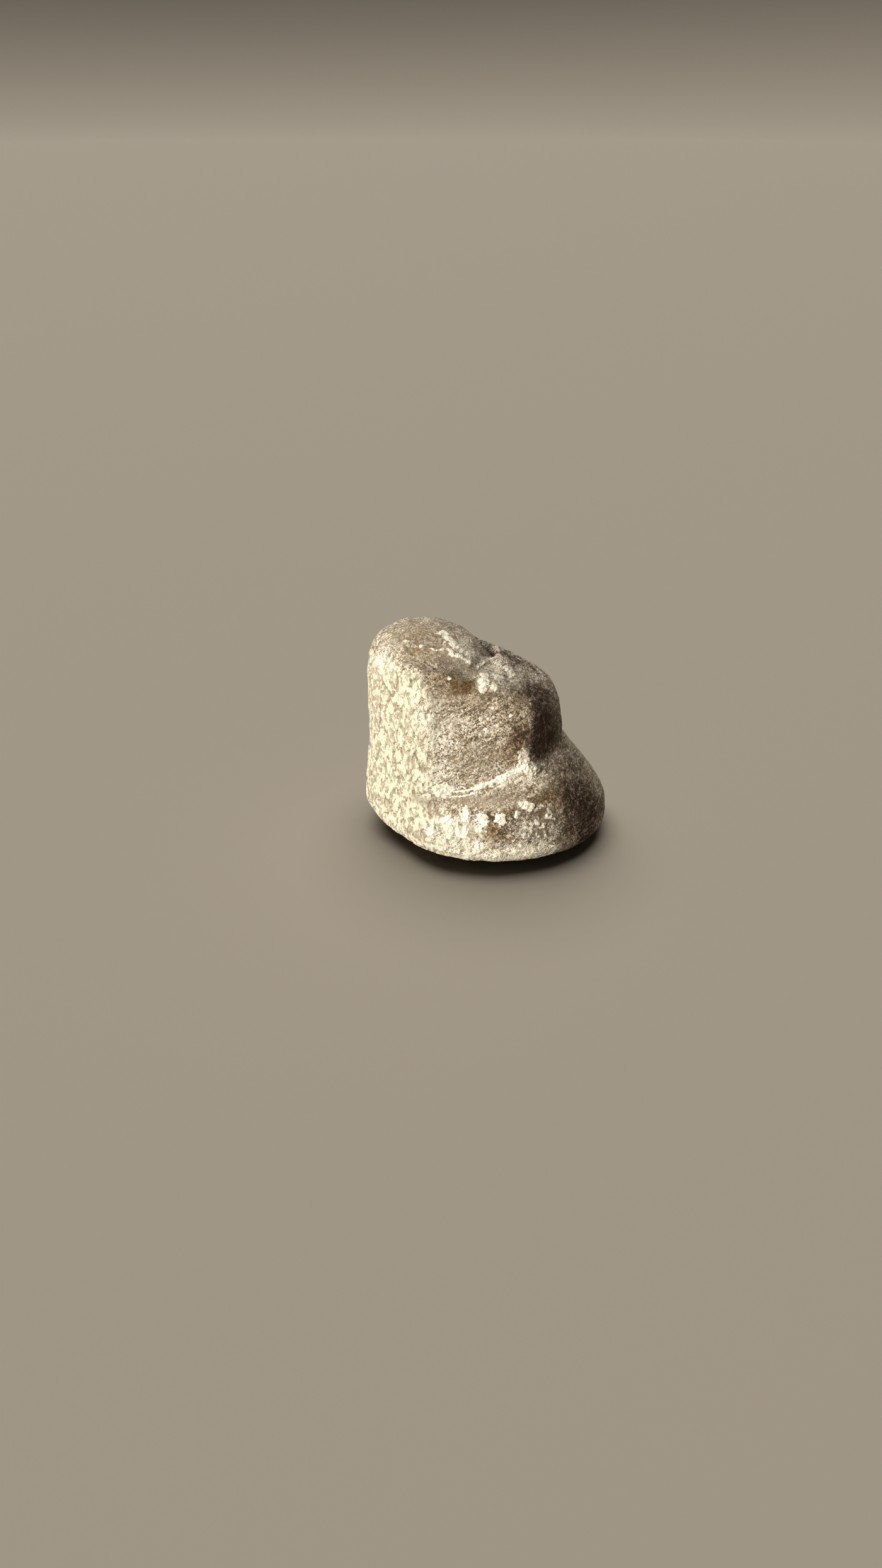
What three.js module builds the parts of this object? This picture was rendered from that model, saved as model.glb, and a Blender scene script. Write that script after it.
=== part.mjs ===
import * as THREE from "three";
import { mergeVertices } from "three/addons/utils/BufferGeometryUtils.js";

// Worn fossil top shell in millimetres, +Z up, standing on its worn base at z = 0.
// +X is the viewer's right and -Y faces the viewer. Seen from above the whorls wind
// clockwise from the apex down to the mouth. The shell is one closed solid: its surface
// is where the function `outside` is zero, found along rays from a point inside.

// How the surface is sampled
const SUBDIVISION = 21;
const RAY_START = new THREE.Vector3(-0.8, 0, 6);
const RAY_LENGTH = 14;
const RAY_STEPS = 56;
const RAY_HALVINGS = 30;
const FLAT_SNAP = 0.02;

// Body whorl: an oval skirt that narrows upward above its widest level
const SKIRT_RADIUS_X = 8.45;
const SKIRT_RADIUS_Y = 7.0;
const SKIRT_CENTRE_Y = -0.1;
const SKIRT_SCALE = 6.5;
const SKIRT_NARROWING = 0.085;
const SKIRT_WIDEST_Z = 2.9;
const SKIRT_BEND = 0.5;
const SKIRT_TOP_Z = 9.5;
const SKIRT_TOP_TILT = 0.15;
const SKIRT_TOP_ROUND = 0.6;
// Height shift of the skirt against turns run clockwise from the left side: 0 left,
// 0.25 back, 0.5 right, 0.75 front, 1 left again, then on to the mouth
const SHIFT_TURN = [0, 0.2, 0.3, 0.42, 0.5, 0.58, 0.65, 0.72, 0.79, 0.86, 1, 1.25, 1.35];
const SHIFT_MM = [4.5, 3.2, 2, -0.5, -0.2, 0.4, 0.7, 0.35, 0, 0.1, -0.3, -1.1, -1.4];
const INSET_TURN = [0, 0.25, 0.4, 0.5, 1];
const INSET_SHARE = [0.01, 0.09, 0.03, 0, 0];
const MOUTH_START = 1.31;
const MOUTH_END = 1.4;
const MOUTH_STEP = 0.2;
const WHORL_JOIN = 0.25;

// Last full whorl of the spire: an oval drum with worn flat cuts
const DRUM_CENTRE = [-1.7, -0.5];
const DRUM_RADIUS = [6.75, 5.4];
const DRUM_SCALE = 6.2;
const DRUM_TAPER = 0.006;
const DRUM_TAPER_Z = 7;
// Each cut: the direction it faces, its distance along that direction, its edge rounding
const DRUM_CUTS = [
  { facing: [0.03, -1, 0.24], distance: 6.74, round: 0.35 },
  { facing: [0.92, -0.39, 0], distance: 4.9, round: 0.35 },
  { facing: [0.5, -0.33, 1], distance: 13.35, round: 0.9 },
  { facing: [0.4, 0.45, 0.8], distance: 11.15, round: 0.7 },
  { facing: [-0.15, -0.1, 1], distance: 14.9, round: 0.8 },
];

// Worn apex: a low dome that leans to the left
const DOME_CENTRE = [-4.5, 0.7, 11.7];
const DOME_RADIUS = [4, 3.6, 2.9];
const DOME_STRETCH_DOWN = 4;
const DOME_POWER = 2.3;
const DOME_SCALE = 3.3;
const DOME_JOIN = 0.35;

// Channel between the apex and the shoulder below it
const CHANNEL_PATH = [
  [-6.2, -2.2, 13.9],
  [-4.2, -2.9, 13.7],
  [-2.8, -2.8, 13.4],
  [-1.2, -2.6, 13.1],
  [0.1, -1.3, 12.9],
  [-0.5, 1.3, 13.2],
];
const CHANNEL_WIDTH = 0.7;
const CHANNEL_DEPTH = 0.36;

// Wear faces that cut the whole shell
const WEAR_FACES = [
  { facing: [-1, 0, 0.05], distance: 8.55, round: 0.6 },
  { facing: [-0.76, -0.65, 0.1], distance: 7.45, round: 0.6 },
  { facing: [-0.6, -0.1, 0.79], distance: 14.75, round: 0.8 },
];

// Crust left along the lower seam, on the side that faces the viewer
const CRUST_HEIGHT = 0.22;
const CRUST_WIDTH = 0.3;
const CRUST_OFFSET = 0.42;
const CRUST_FADE = [-150, -125, -50, -38];

// Row of worn nodules on the shoulder of the body whorl
const NODULE_ANGLE = [-124, -114, -104, -94, -84, -74, -65];
const NODULE_Z = [3.85, 3.95, 4, 4.1, 4.3, 4.5, 4.75];
const NODULE_INSET = 0.055;
const NODULE_LEAN = 0.03;
const NODULE_HEIGHT = 0.24;
const NODULE_WIDTH = 0.5;

// Soft hollows (depth above zero) and lumps (depth below zero): the deep end of the
// lower seam, the bright ledge beside it, two crumbs on the shoulder, the hollow of the
// left wall, a small pit on the right flank and the plugged mouth at the back
const SOFT_SPOTS = [
  { centre: [4.1, -4.3, 7.4], size: [0.8, 1.2, 1.2], depth: 0.35 },
  { centre: [2.6, -5.3, 6.9], size: [0.7, 0.7, 0.5], depth: -0.3 },
  { centre: [0.1, -3.1, 12.4], size: [0.7, 0.6, 0.6], depth: -0.2 },
  { centre: [1.2, -3.2, 11.9], size: [0.7, 0.7, 0.6], depth: -0.12 },
  { centre: [-8.0, -0.6, 7.2], size: [1.5, 3, 2.2], depth: 0.18 },
  { centre: [6.6, -3.4, 3.6], size: [0.5, 0.5, 0.5], depth: 0.25 },
  { centre: [5.3, 5.2, 2.6], size: [1.7, 1.7, 1.5], depth: 1 },
];

// Underside: flat in the middle, rising gently to a rounded rim
const BASE_RADIUS = [8.3, 7.2];
const BASE_CENTRE_Y = -0.2;
const BASE_FLAT_SHARE = 0.42;
const BASE_RISE = 1.22;
const BASE_RISE_LEFT = 0.55;
const BASE_POWER = 1.8;
const BASE_ROUND = 0.8;
const FLAT_ROUND = 0.05;
const AXIS_PIT = { centre: [2.2, -0.8, 0], size: [0.9, 0.9, 0.9], depth: 0.6 };

const STONE = { color: 0xb7a68b, roughness: 0.85, metalness: 0 };

function clamp(value, low, high) {
  return Math.min(Math.max(value, low), high);
}

function smoothStep(low, high, value) {
  const share = clamp((value - low) / (high - low), 0, 1);
  return share * share * (3 - 2 * share);
}

function smoothMin(a, b, blend) {
  const share = clamp(0.5 + (0.5 * (b - a)) / blend, 0, 1);
  return b * (1 - share) + a * share - blend * share * (1 - share);
}

function smoothMax(a, b, blend) {
  return -smoothMin(-a, -b, blend);
}

// Slope of a smooth curve at each of its points
function curveSlopes(at, values) {
  const steps = at.slice(1).map((place, i) => (values[i + 1] - values[i]) / (place - at[i]));
  const last = steps.length - 1;
  return at.map((_, i) => {
    if (i === 0) return steps[0];
    if (i > last) return steps[last];
    return (steps[i - 1] + steps[i]) / 2;
  });
}

// Smooth curve through the given points, held level past its ends
function smoothCurve(at, values) {
  const slopes = curveSlopes(at, values);
  return (place) => {
    const x = clamp(place, at[0], at[at.length - 1]);
    let i = 0;
    while (i < at.length - 2 && x >= at[i + 1]) i += 1;
    const width = at[i + 1] - at[i];
    const t = (x - at[i]) / width;
    const rise = t * t * (3 - 2 * t);
    const leave = t * (1 - t) * (1 - t) * width * slopes[i];
    const arrive = t * t * (1 - t) * width * slopes[i + 1];
    return values[i] + (values[i + 1] - values[i]) * rise + leave - arrive;
  };
}

const skirtShift = smoothCurve(SHIFT_TURN, SHIFT_MM);
const skirtInset = smoothCurve(INSET_TURN, INSET_SHARE);

// Height above a flat face, below zero inside it
function faceHeight(p, face) {
  const [nx, ny, nz] = face.facing;
  return (p.x * nx + p.y * ny + p.z * nz - face.distance) / Math.hypot(nx, ny, nz);
}

// A bump that fades to nothing over `size` in each direction
function softSpot(p, centre, size) {
  const dx = (p.x - centre[0]) / size[0];
  const dy = (p.y - centre[1]) / size[1];
  const dz = (p.z - centre[2]) / size[2];
  return Math.exp(-(dx * dx + dy * dy + dz * dz));
}

// Share of the full radius that the skirt loses at height z
function narrowing(z, turn) {
  const above = (z - SKIRT_WIDEST_Z - skirtShift(turn)) / SKIRT_BEND;
  return SKIRT_NARROWING * SKIRT_BEND * Math.log1p(Math.exp(above));
}

function bodyWhorl(p) {
  const x = p.x / SKIRT_RADIUS_X;
  const y = (p.y - SKIRT_CENTRE_Y) / SKIRT_RADIUS_Y;
  const radius = Math.hypot(x, y);
  const half = Math.atan2(y, x) / (2 * Math.PI);
  const turn = (0.5 - half + 1) % 1;
  const older = radius - 1 + skirtInset(turn) + narrowing(p.z, turn);
  const mouth = MOUTH_STEP * smoothStep(MOUTH_START, MOUTH_END, turn + 1);
  const newer = radius - 1 + mouth + narrowing(p.z, turn + 1);
  const side = smoothMin(older * SKIRT_SCALE, newer * SKIRT_SCALE, WHORL_JOIN);
  return smoothMax(side, p.z - SKIRT_TOP_Z + SKIRT_TOP_TILT * p.x, SKIRT_TOP_ROUND);
}

function spireWhorl(p) {
  const above = Math.max(p.z - DRUM_TAPER_Z, 0);
  const x = (p.x - DRUM_CENTRE[0]) / DRUM_RADIUS[0];
  const y = (p.y - DRUM_CENTRE[1]) / DRUM_RADIUS[1];
  const wall = (Math.hypot(x, y) - 1 + DRUM_TAPER * above * above) * DRUM_SCALE;
  return DRUM_CUTS.reduce((f, cut) => smoothMax(f, faceHeight(p, cut), cut.round), wall);
}

function apexDome(p) {
  const rise = p.z - DOME_CENTRE[2];
  const level = rise < 0 ? DOME_CENTRE[2] + rise / DOME_STRETCH_DOWN : p.z;
  const offsets = [p.x, p.y, level].map((value, i) => (value - DOME_CENTRE[i]) / DOME_RADIUS[i]);
  const sum = offsets.reduce((total, value) => total + Math.abs(value) ** DOME_POWER, 0);
  return (sum ** (1 / DOME_POWER) - 1) * DOME_SCALE;
}

const CHANNEL_POINTS = CHANNEL_PATH.map((point) => new THREE.Vector3(...point));
const CHANNEL_LINES = CHANNEL_POINTS.slice(1).map((end, i) => new THREE.Line3(CHANNEL_POINTS[i], end));

function channel(p) {
  const nearest = new THREE.Vector3();
  const distances = CHANNEL_LINES.map((line) => line.closestPointToPoint(p, true, nearest).distanceTo(p));
  const share = Math.min(...distances) / CHANNEL_WIDTH;
  return CHANNEL_DEPTH * Math.exp(-share * share);
}

function crust(p, spire, body) {
  const angle = THREE.MathUtils.radToDeg(Math.atan2(p.y, p.x));
  const [fadeIn, full, keep, fadeOut] = CRUST_FADE;
  const front = smoothStep(fadeIn, full, angle) * (1 - smoothStep(keep, fadeOut, angle));
  const across = (spire - CRUST_OFFSET) ** 2 + body ** 2;
  return CRUST_HEIGHT * front * Math.exp(-across / CRUST_WIDTH ** 2);
}

const NODULE_CENTRES = NODULE_ANGLE.map((degrees, i) => {
  const angle = THREE.MathUtils.degToRad(degrees);
  const share = 1 - NODULE_INSET - NODULE_LEAN * (NODULE_Z[i] - NODULE_Z[0]);
  const x = SKIRT_RADIUS_X * share * Math.cos(angle);
  const y = SKIRT_CENTRE_Y + SKIRT_RADIUS_Y * share * Math.sin(angle);
  return [x, y, NODULE_Z[i]];
});

function nodules(p) {
  const size = [NODULE_WIDTH, NODULE_WIDTH, NODULE_WIDTH];
  return NODULE_CENTRES.reduce((sum, centre) => sum + NODULE_HEIGHT * softSpot(p, centre, size), 0);
}

function underside(p) {
  const x = p.x / BASE_RADIUS[0];
  const y = (p.y - BASE_CENTRE_Y) / BASE_RADIUS[1];
  const radius = Math.max(Math.hypot(x, y), Number.EPSILON);
  const rise = BASE_RISE - (BASE_RISE_LEFT * x) / radius;
  const share = clamp((radius - BASE_FLAT_SHARE) / (1 - BASE_FLAT_SHARE), 0, 2);
  return rise * share ** BASE_POWER - p.z;
}

// Below zero inside the shell, above zero outside it
function outside(p) {
  const spire = smoothMin(spireWhorl(p), apexDome(p), DOME_JOIN) + channel(p);
  const body = bodyWhorl(p);
  let f = smoothMin(spire, body, WHORL_JOIN) - crust(p, spire, body) - nodules(p);
  f = WEAR_FACES.reduce((sum, face) => smoothMax(sum, faceHeight(p, face), face.round), f);
  f = SOFT_SPOTS.reduce((sum, spot) => sum + spot.depth * softSpot(p, spot.centre, spot.size), f);
  f = smoothMax(f, underside(p), BASE_ROUND);
  f += AXIS_PIT.depth * softSpot(p, AXIS_PIT.centre, AXIS_PIT.size);
  return smoothMax(f, -p.z, FLAT_ROUND);
}

// Distance from the ray's start to the surface
function surfaceDistance(direction) {
  const point = new THREE.Vector3();
  const isOutside = (length) => outside(point.copy(RAY_START).addScaledVector(direction, length)) > 0;
  const step = RAY_LENGTH / RAY_STEPS;
  let far = step;
  while (far < RAY_LENGTH && !isOutside(far)) far += step;
  let near = far - step;
  for (let i = 0; i < RAY_HALVINGS; i += 1) {
    const middle = (near + far) / 2;
    if (isOutside(middle)) far = middle;
    else near = middle;
  }
  return (near + far) / 2;
}

function shellGeometry() {
  const ball = new THREE.IcosahedronGeometry(1, SUBDIVISION);
  ball.deleteAttribute("normal");
  ball.deleteAttribute("uv");
  const geometry = mergeVertices(ball);
  const places = geometry.getAttribute("position");
  const point = new THREE.Vector3();
  for (let i = 0; i < places.count; i += 1) {
    const direction = point.fromBufferAttribute(places, i).normalize().clone();
    point.copy(RAY_START).addScaledVector(direction, surfaceDistance(direction));
    if (point.z < FLAT_SNAP) point.z = 0;
    places.setXYZ(i, point.x, point.y, point.z);
  }
  geometry.computeVertexNormals();
  return geometry;
}

const shell = new THREE.Mesh(shellGeometry(), new THREE.MeshStandardMaterial(STONE));
shell.name = "shell";

const part = new THREE.Group();
part.name = "fossil_top_shell";
part.add(shell);

export default part;
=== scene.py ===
import math

import bpy
import numpy as np
from mathutils import Matrix, Vector


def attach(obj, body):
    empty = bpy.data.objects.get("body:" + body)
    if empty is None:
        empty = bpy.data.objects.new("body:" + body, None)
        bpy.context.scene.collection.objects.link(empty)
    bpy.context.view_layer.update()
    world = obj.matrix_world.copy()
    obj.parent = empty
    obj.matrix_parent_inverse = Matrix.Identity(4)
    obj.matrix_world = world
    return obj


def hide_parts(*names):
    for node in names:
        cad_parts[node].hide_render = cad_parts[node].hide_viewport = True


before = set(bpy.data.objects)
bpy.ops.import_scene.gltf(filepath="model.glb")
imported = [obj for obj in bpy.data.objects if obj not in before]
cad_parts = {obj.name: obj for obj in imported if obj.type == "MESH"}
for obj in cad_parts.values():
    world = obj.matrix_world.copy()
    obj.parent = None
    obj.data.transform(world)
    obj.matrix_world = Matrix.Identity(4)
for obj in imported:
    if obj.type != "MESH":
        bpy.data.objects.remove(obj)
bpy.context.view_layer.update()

SLOT = "fossil_stone"
TINY = 1e-9

# All lengths below are in millimetres unless a name says otherwise.
MM = 0.001

# How the surface is sampled: a cube blown up to a ball, its points drawn towards the viewer
CUBE_STEPS = 128
PULL_TO_FRONT = 0.18
RAY_START = np.array([-0.8, 0.0, 6.0])
RAY_NEAR = 3.5
RAY_FAR = 13.0
RAY_STEPS = 20
RAY_HALVINGS = 15
NORMAL_STEP = 0.02

# Body whorl: an oval skirt that narrows upward above its widest level
SKIRT_RADIUS = (8.45, 7.0)
SKIRT_CENTRE_Y = -0.1
SKIRT_SCALE = 6.5
SKIRT_NARROWING = 0.085
SKIRT_WIDEST_Z = 2.9
SKIRT_BEND = 0.5
SKIRT_TOP_Z = 9.5
SKIRT_TOP_TILT = 0.15
SKIRT_TOP_ROUND = 0.6
# Round its turns: how its widest level shifts, how far it is inset, and where the mouth steps back
SHIFT_TURN = (0, 0.2, 0.3, 0.42, 0.5, 0.58, 0.65, 0.72, 0.79, 0.86, 1, 1.25, 1.35)
SHIFT_MM = (4.5, 3.2, 2, -0.5, -0.2, 0.4, 0.7, 0.35, 0, 0.1, -0.3, -1.1, -1.4)
INSET_TURN = (0, 0.25, 0.4, 0.5, 1)
INSET_SHARE = (0.01, 0.09, 0.03, 0, 0)
MOUTH_START = 1.31
MOUTH_END = 1.4
MOUTH_STEP = 0.2
WHORL_JOIN = 0.16

# Last full whorl of the spire: an oval drum with worn flat cuts,
# each (direction it faces, distance along it, edge rounding)
DRUM_CENTRE = (-1.7, -0.5)
DRUM_RADIUS = (6.75, 5.4)
DRUM_SCALE = 6.2
DRUM_TAPER = 0.006
DRUM_TAPER_Z = 7.0
DRUM_CUTS = (
    ((0.03, -1, 0.24), 6.74, 0.35),
    ((0.92, -0.39, 0.1), 6.0, 0.18),
    ((0.5, -0.33, 1), 13.35, 0.9),
    ((0.4, 0.45, 0.8), 11.15, 0.7),
    ((-0.15, -0.1, 1), 14.9, 0.8),
)

# Worn apex: a low dome that is drawn out downward
DOME_CENTRE = (-4.5, 0.7, 11.7)
DOME_RADIUS = (4.0, 3.6, 2.9)
DOME_STRETCH_DOWN = 4.0
DOME_POWER = 2.3
DOME_SCALE = 3.3
DOME_JOIN = 0.35

# Shallow channel between the apex and the shoulder
CHANNEL_PATH = (
    (-6.2, -2.2, 13.9),
    (-4.2, -2.9, 13.7),
    (-2.8, -2.8, 13.4),
    (-1.2, -2.6, 13.1),
    (0.1, -1.3, 12.9),
    (-0.5, 1.3, 13.2),
)
CHANNEL_WIDTH = 0.7
CHANNEL_DEPTH = 0.36

# Flat wear down the left side and over the top left, given as the cuts above
WEAR_FACES = (
    ((-1, 0, 0.05), 8.55, 0.6),
    ((-0.76, -0.65, 0.1), 7.45, 0.6),
    ((-0.6, -0.1, 0.79), 14.75, 0.8),
)

# Soft hollows (depth above zero) and lumps (depth below zero): centre, size, depth
SOFT_SPOTS = (
    ((4.3, -4.2, 7.9), (0.8, 1.2, 1.1), 0.3),
    ((2.8, -5.2, 6.9), (0.7, 0.7, 0.5), -0.3),
    ((0.1, -3.1, 12.4), (0.7, 0.6, 0.6), -0.2),
    ((1.2, -3.2, 11.9), (0.7, 0.7, 0.6), -0.12),
    ((-8.0, -0.6, 7.2), (1.5, 3, 2.2), 0.18),
    ((6.6, -3.4, 3.6), (0.5, 0.5, 0.5), 0.25),
    ((5.3, 5.2, 2.6), (1.7, 1.7, 1.5), 1.0),
    ((3.3, -0.5, 11.7), (1.6, 1.6, 1.0), 0.2),
    ((-3.7, -2.4, 13.8), (1.1, 0.7, 0.6), 0.15),
    ((-2.5, -2.7, 13.3), (0.9, 0.7, 0.6), 0.22),
    ((-1.5, -2.9, 12.8), (0.6, 0.6, 0.5), 0.15),
)

# Underside
BASE_RADIUS = (8.3, 7.2)
BASE_CENTRE_Y = -0.2
BASE_FLAT_SHARE = 0.42
BASE_RISE = 1.22
BASE_RISE_LEFT = 0.55
BASE_POWER = 1.8
BASE_ROUND = 0.8
FLAT_ROUND = 0.05
# Pit where the axis comes out below: centre, size, depth
AXIS_PIT = ((2.2, -0.8, 0), (0.9, 0.9, 0.9), 0.6)

# Where the shell is on the photograph, whose camera looks down at it
PICTURE_WIDTH = 1400
PICTURE_HEIGHT = 2488
FOCAL_PIXELS = 1860.0
SENSOR_MM = 36.0
CAMERA_ELEVATION = 29.0
CAMERA_DISTANCE = 80.0
AIM_POINT = (0.0, 0.0, 6.9)
AIM_PIXEL = (772.2, 1162.9)
CAMERA_CLIP = (0.005, 20.0)

# Fine white lines of the seam: path, half width as seen from the front
SEAM_LINES = (
    (((-4.3, -5.34, 5.21), (-3.72, -5.51, 5.42), (-3.05, -5.47, 5.66)), 0.035),
    (((-3.05, -5.47, 5.66), (-2.29, -5.47, 5.58), (-1.72, -5.46, 5.61), (-0.94, -5.44, 5.78)), 0.06),
    (((-0.94, -5.44, 5.78), (-0.16, -5.36, 6.1), (0.61, -5.27, 6.36)), 0.13),
    (((0.61, -5.27, 6.36), (1.39, -5.12, 6.64), (2.22, -5.02, 7.07)), 0.22),
    (((-2.6, -5.56, 5.21), (-1.72, -5.57, 5.31), (-0.94, -5.55, 5.53)), 0.045),
)
# How near the seam counts, how the lines waver, their soft edges in half widths, and where they fade
SEAM_REACH = 0.35
SEAM_WOBBLE_SIZE = 0.16
SEAM_WOBBLE = 0.22
SEAM_EDGE = (0.6, 1.4)
SEAM_FADE = (0.2, 0.5)

# Worn groove where the spire meets the body whorl, away from the front
SUTURE_WIDTH = 0.14
SUTURE_DEPTH = 0.12
SUTURE_Y = (-1.5, 0.5)
SUTURE_WHITE = 0.62

# White crust in lines: path, width, rise, how white
CRUST_LINES = (
    (((-3.0, -5.5, 5.6), (-1.7, -5.5, 5.65), (-0.9, -5.5, 5.85)), 0.1, 0.07, 0.3),
    (((-0.9, -5.5, 5.85), (0.2, -5.4, 6.3), (0.8, -5.35, 6.5)), 0.17, 0.08, 0.7),
    (((0.8, -5.35, 6.5), (1.5, -5.2, 6.75), (2.0, -5.1, 7.0)), 0.24, 0.1, 1.0),
    (((2.0, -5.1, 7.0), (2.5, -5.0, 7.1), (2.55, -4.8, 7.6), (2.3, -4.6, 8.2)), 0.26, 0.12, 1.0),
    (((2.3, -5.1, 7.0), (2.8, -4.9, 6.9), (3.1, -4.8, 7.0)), 0.26, 0.12, 1.4),
    (((2.9, -4.85, 7.1), (2.85, -4.7, 7.7)), 0.22, 0.1, 1.2),
    (((0.3, -5.6, 6.0), (0.9, -5.6, 6.1), (1.5, -5.4, 6.3)), 0.16, 0.06, 0.85),
    (((-5.4, -0.95, 14.14), (-4.8, -1.5, 14.12), (-4.35, -1.72, 14.08)), 0.14, 0.1, 0.64),
    (((-4.35, -1.72, 14.08), (-3.31, -1.91, 13.94), (-2.7, -1.76, 13.94)), 0.11, 0.14, 0.62),
    (
        ((-2.7, -1.76, 13.94), (-2.38, -1.92, 13.72), (-1.78, -1.92, 13.44), (-1.25, -1.9, 13.09)),
        0.14,
        0.15,
        1.0,
    ),
    (((-0.76, -1.95, 12.74), (-0.3, -1.2, 12.75), (0.2, -0.5, 12.85)), 0.08, 0.1, 1.2),
)
# Crust in lumps and nodules: centre, size, rise, how white
CRUST_LUMPS = (
    ((-3.0, -5.47, 5.7), (0.58, 0.5, 0.45), 0.07, 2.2),
    ((2.35, -4.95, 7.25), (0.6, 0.5, 0.5), 0.06, 1.5),
    ((1.4, -5.1, 6.75), (0.5, 0.4, 0.2), 0.05, 0.7),
    ((2.2, -4.85, 7.6), (0.45, 0.5, 0.5), 0.05, 0.9),
    ((2.3, -4.7, 8.0), (0.35, 0.4, 0.5), 0.04, 0.8),
    ((2.85, -4.9, 6.95), (0.55, 0.45, 0.4), 0.08, 1.3),
    ((-2.9, -0.4, 14.42), (0.36, 0.4, 0.3), 0.05, 0.65),
    ((-2.62, -0.8, 14.28), (0.42, 0.4, 0.35), 0.05, 0.72),
    ((-2.3, -1.3, 14.0), (0.52, 0.45, 0.4), 0.05, 0.78),
    ((-1.85, -1.4, 13.75), (0.4, 0.4, 0.3), 0.05, 0.62),
    ((-1.1, -1.35, 13.4), (0.42, 0.4, 0.3), 0.05, 0.65),
    ((-1.35, -1.8, 13.25), (0.4, 0.35, 0.4), 0.05, 0.7),
    ((-0.35, -3.3, 12.48), (0.36, 0.4, 0.3), 0.1, 1.2),
    ((-0.5, -3.65, 12.1), (0.3, 0.3, 0.3), 0.08, 1.1),
    ((0.29, -3.45, 12.14), (0.35, 0.3, 0.25), 0.08, 0.9),
    ((-0.3, -2.6, 12.55), (0.3, 0.5, 0.3), 0.08, 1.0),
    ((0.53, -2.47, 12.32), (0.5, 0.45, 0.3), 0.06, 0.8),
    ((1.39, -1.4, 12.15), (0.4, 0.35, 0.3), 0.1, 1.1),
    ((-2.61, -3.63, 12.83), (0.13, 0.13, 0.13), 0.04, 1.0),
    ((0.14, -4.09, 11.02), (0.13, 0.13, 0.13), 0.04, 1.0),
    ((1.3, -4.15, 10.54), (0.15, 0.15, 0.13), 0.04, 1.0),
    ((2.35, -6.05, 4.85), (0.36, 0.4, 0.24), 0.11, 1.6),
    ((2.65, -5.95, 4.65), (0.28, 0.4, 0.22), 0.1, 1.6),
    ((1.81, -6.35, 4.36), (0.2, 0.3, 0.22), 0.08, 1.4),
    ((0.71, -6.55, 4.2), (0.4, 0.4, 0.34), 0.12, 1.6),
    ((0.9, -6.6, 3.95), (0.26, 0.3, 0.24), 0.1, 1.4),
    ((-0.44, -6.5, 4.17), (0.44, 0.4, 0.32), 0.12, 1.5),
    ((-0.3, -6.6, 3.95), (0.3, 0.3, 0.24), 0.1, 1.3),
    ((-1.53, -6.25, 4.25), (0.44, 0.4, 0.46), 0.09, 1.2),
    ((-2.69, -6.2, 3.8), (0.44, 0.4, 0.36), 0.06, 0.9),
    ((3.69, -5.83, 4.68), (0.2, 0.3, 0.16), 0.05, 0.75),
    ((3.78, -6.04, 3.98), (0.1, 0.3, 0.35), 0.04, 0.75),
    ((-0.59, -6.71, 3.6), (0.44, 0.3, 0.3), 0.05, 0.6),
    ((-1.73, -6.69, 3.25), (0.48, 0.3, 0.36), 0.06, 1.0),
    ((-3.9, -6.05, 3.02), (0.36, 0.3, 0.4), 0.06, 1.1),
    ((0.64, -7.08, 2.5), (0.15, 0.2, 0.15), 0.05, 1.1),
    ((-0.63, -7.07, 2.39), (0.42, 0.3, 0.4), 0.06, 1.1),
    ((1.7, -7.02, 1.87), (0.3, 0.3, 0.14), 0.05, 1.3),
)
# The most that a line counts as crust, and how steep the sides of the lumps are
CRUST_LINE_LIMIT = 1.3
LUMP_POWER = 1.5

# Thin cracks and creases: path, width, depth
CRACKS = (
    (((-5.37, -1.16, 14.1), (-5.12, -1.8, 13.87), (-4.83, -2.01, 13.79)), 0.08, 0.09),
    (((-4.02, -2.56, 13.52), (-3.62, -2.89, 13.33), (-3.3, -3.25, 13.19)), 0.08, 0.09),
    (((-0.6, 2.1, 13.1), (-0.3, 1.5, 13.0), (0.0, 0.6, 13.05), (0.3, 0.0, 12.9)), 0.3, 0.4),
    (((0.3, 0.6, 13.0), (1.9, 0.3, 12.4), (3.1, -0.4, 11.6)), 0.12, 0.12),
    (((0.2, 1.3, 12.9), (1.9, 1.0, 12.3), (3.4, 0.1, 11.4)), 0.12, 0.14),
    (((3.1, -4.4, 8.4), (3.2, -4.5, 7.8), (3.35, -4.5, 7.45)), 0.16, 0.2),
    (((-4.7, -4.4, 9.4), (-5.05, -4.25, 8.5), (-4.8, -4.56, 8.0), (-4.3, -4.97, 7.5)), 0.13, 0.14),
    (((-4.3, -4.97, 7.5), (-3.76, -5.27, 6.6)), 0.1, 0.1),
)

# Where the pale scales end, towards the front facet above and lower down on the body whorl
PALE_EDGE_LOW = -0.6
PALE_EDGE_HIGH = -3.5
PALE_EDGE_Z = (3.4, 4.9)
PALE_BLUR = 0.9
PALE_BACK_Y = (-0.5, 3.0)
PALE_BACK_LOSS = 0.45
PALE_TOP_SLOPE = (0.35, 0.75)
PALE_TOP_LOSS = 0.9
# Where the pale scales are worn off: centre, size, strength
BARE_SPOTS = (
    ((-3.5, -3.75, 12.6), (0.8, 0.7, 0.65), 1.0),
    ((-4.3, -2.9, 13.3), (0.7, 0.7, 0.42), 0.8),
)

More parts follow.
